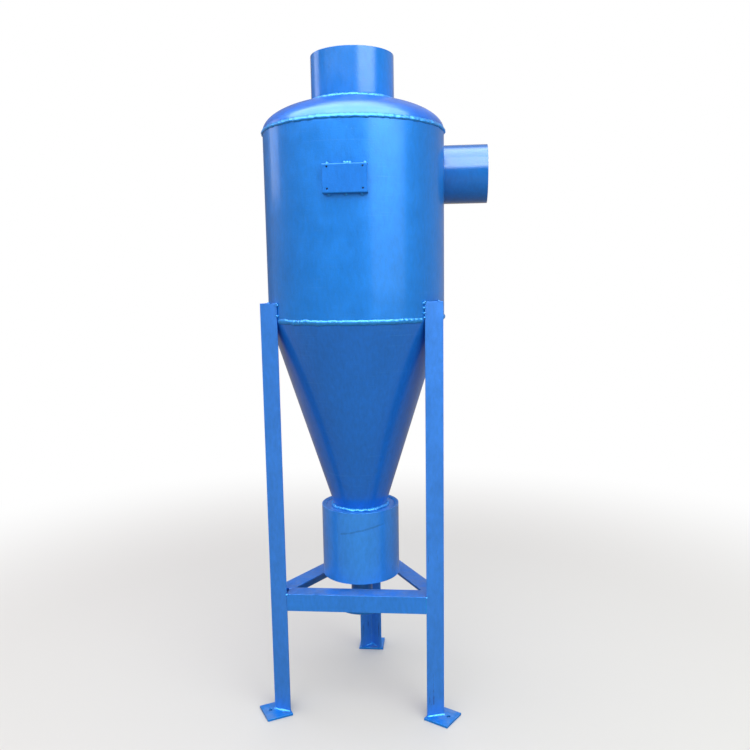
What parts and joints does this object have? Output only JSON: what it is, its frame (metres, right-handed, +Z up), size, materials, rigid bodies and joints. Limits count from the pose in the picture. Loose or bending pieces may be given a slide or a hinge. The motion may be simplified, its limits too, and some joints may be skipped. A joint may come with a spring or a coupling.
{
  "type": "cyclone separator",
  "caption": "Welded cyclone separator with a dished head, top outlet pipe, tangential side inlet, cone and dust pot, standing on braced angle-iron legs.",
  "frame": {"origin": "on the floor under the vessel's axis, at the centre of the circle of anchor holes", "axes": "+Z up along the vessel's axis, +X along the inlet duct towards its open end, -Y towards the side with the nameplate bracket"},
  "size_m": [0.8073, 0.7021, 2.224],
  "materials": {
    "vessel_paint": "gloss",
    "frame_paint": "satin",
    "weld_paint": "gloss"
  },
  "bodies": {
    "root": {"outlet_pipe": "vessel_paint", "top_head": "vessel_paint", "shell": "vessel_paint", "cone": "vessel_paint", "inlet_pipe": "vessel_paint", "pot_shell": "vessel_paint", "pot_cover": "vessel_paint", "pot_bottom_plate": "vessel_paint", "drain_pipe": "vessel_paint", "drain_flange": "vessel_paint", "nameplate_bracket": "vessel_paint", "leg_back": "frame_paint", "leg_left": "frame_paint", "leg_right": "frame_paint", "brace_front": "frame_paint", "brace_left": "frame_paint", "brace_right": "frame_paint", "foot_back": "frame_paint", "foot_left": "frame_paint", "foot_right": "frame_paint", "outlet_weld": "weld_paint", "head_weld": "weld_paint", "cone_weld": "weld_paint", "cone_foot_weld": "weld_paint", "pot_rim_weld": "weld_paint", "drain_weld": "weld_paint", "flange_weld": "weld_paint", "inlet_weld": "weld_paint", "leg_weld_back": "weld_paint", "leg_weld_left": "weld_paint", "leg_weld_right": "weld_paint", "foot_weld_back": "weld_paint", "foot_weld_left": "weld_paint", "foot_weld_right": "weld_paint"}
  },
  "joints": []
}
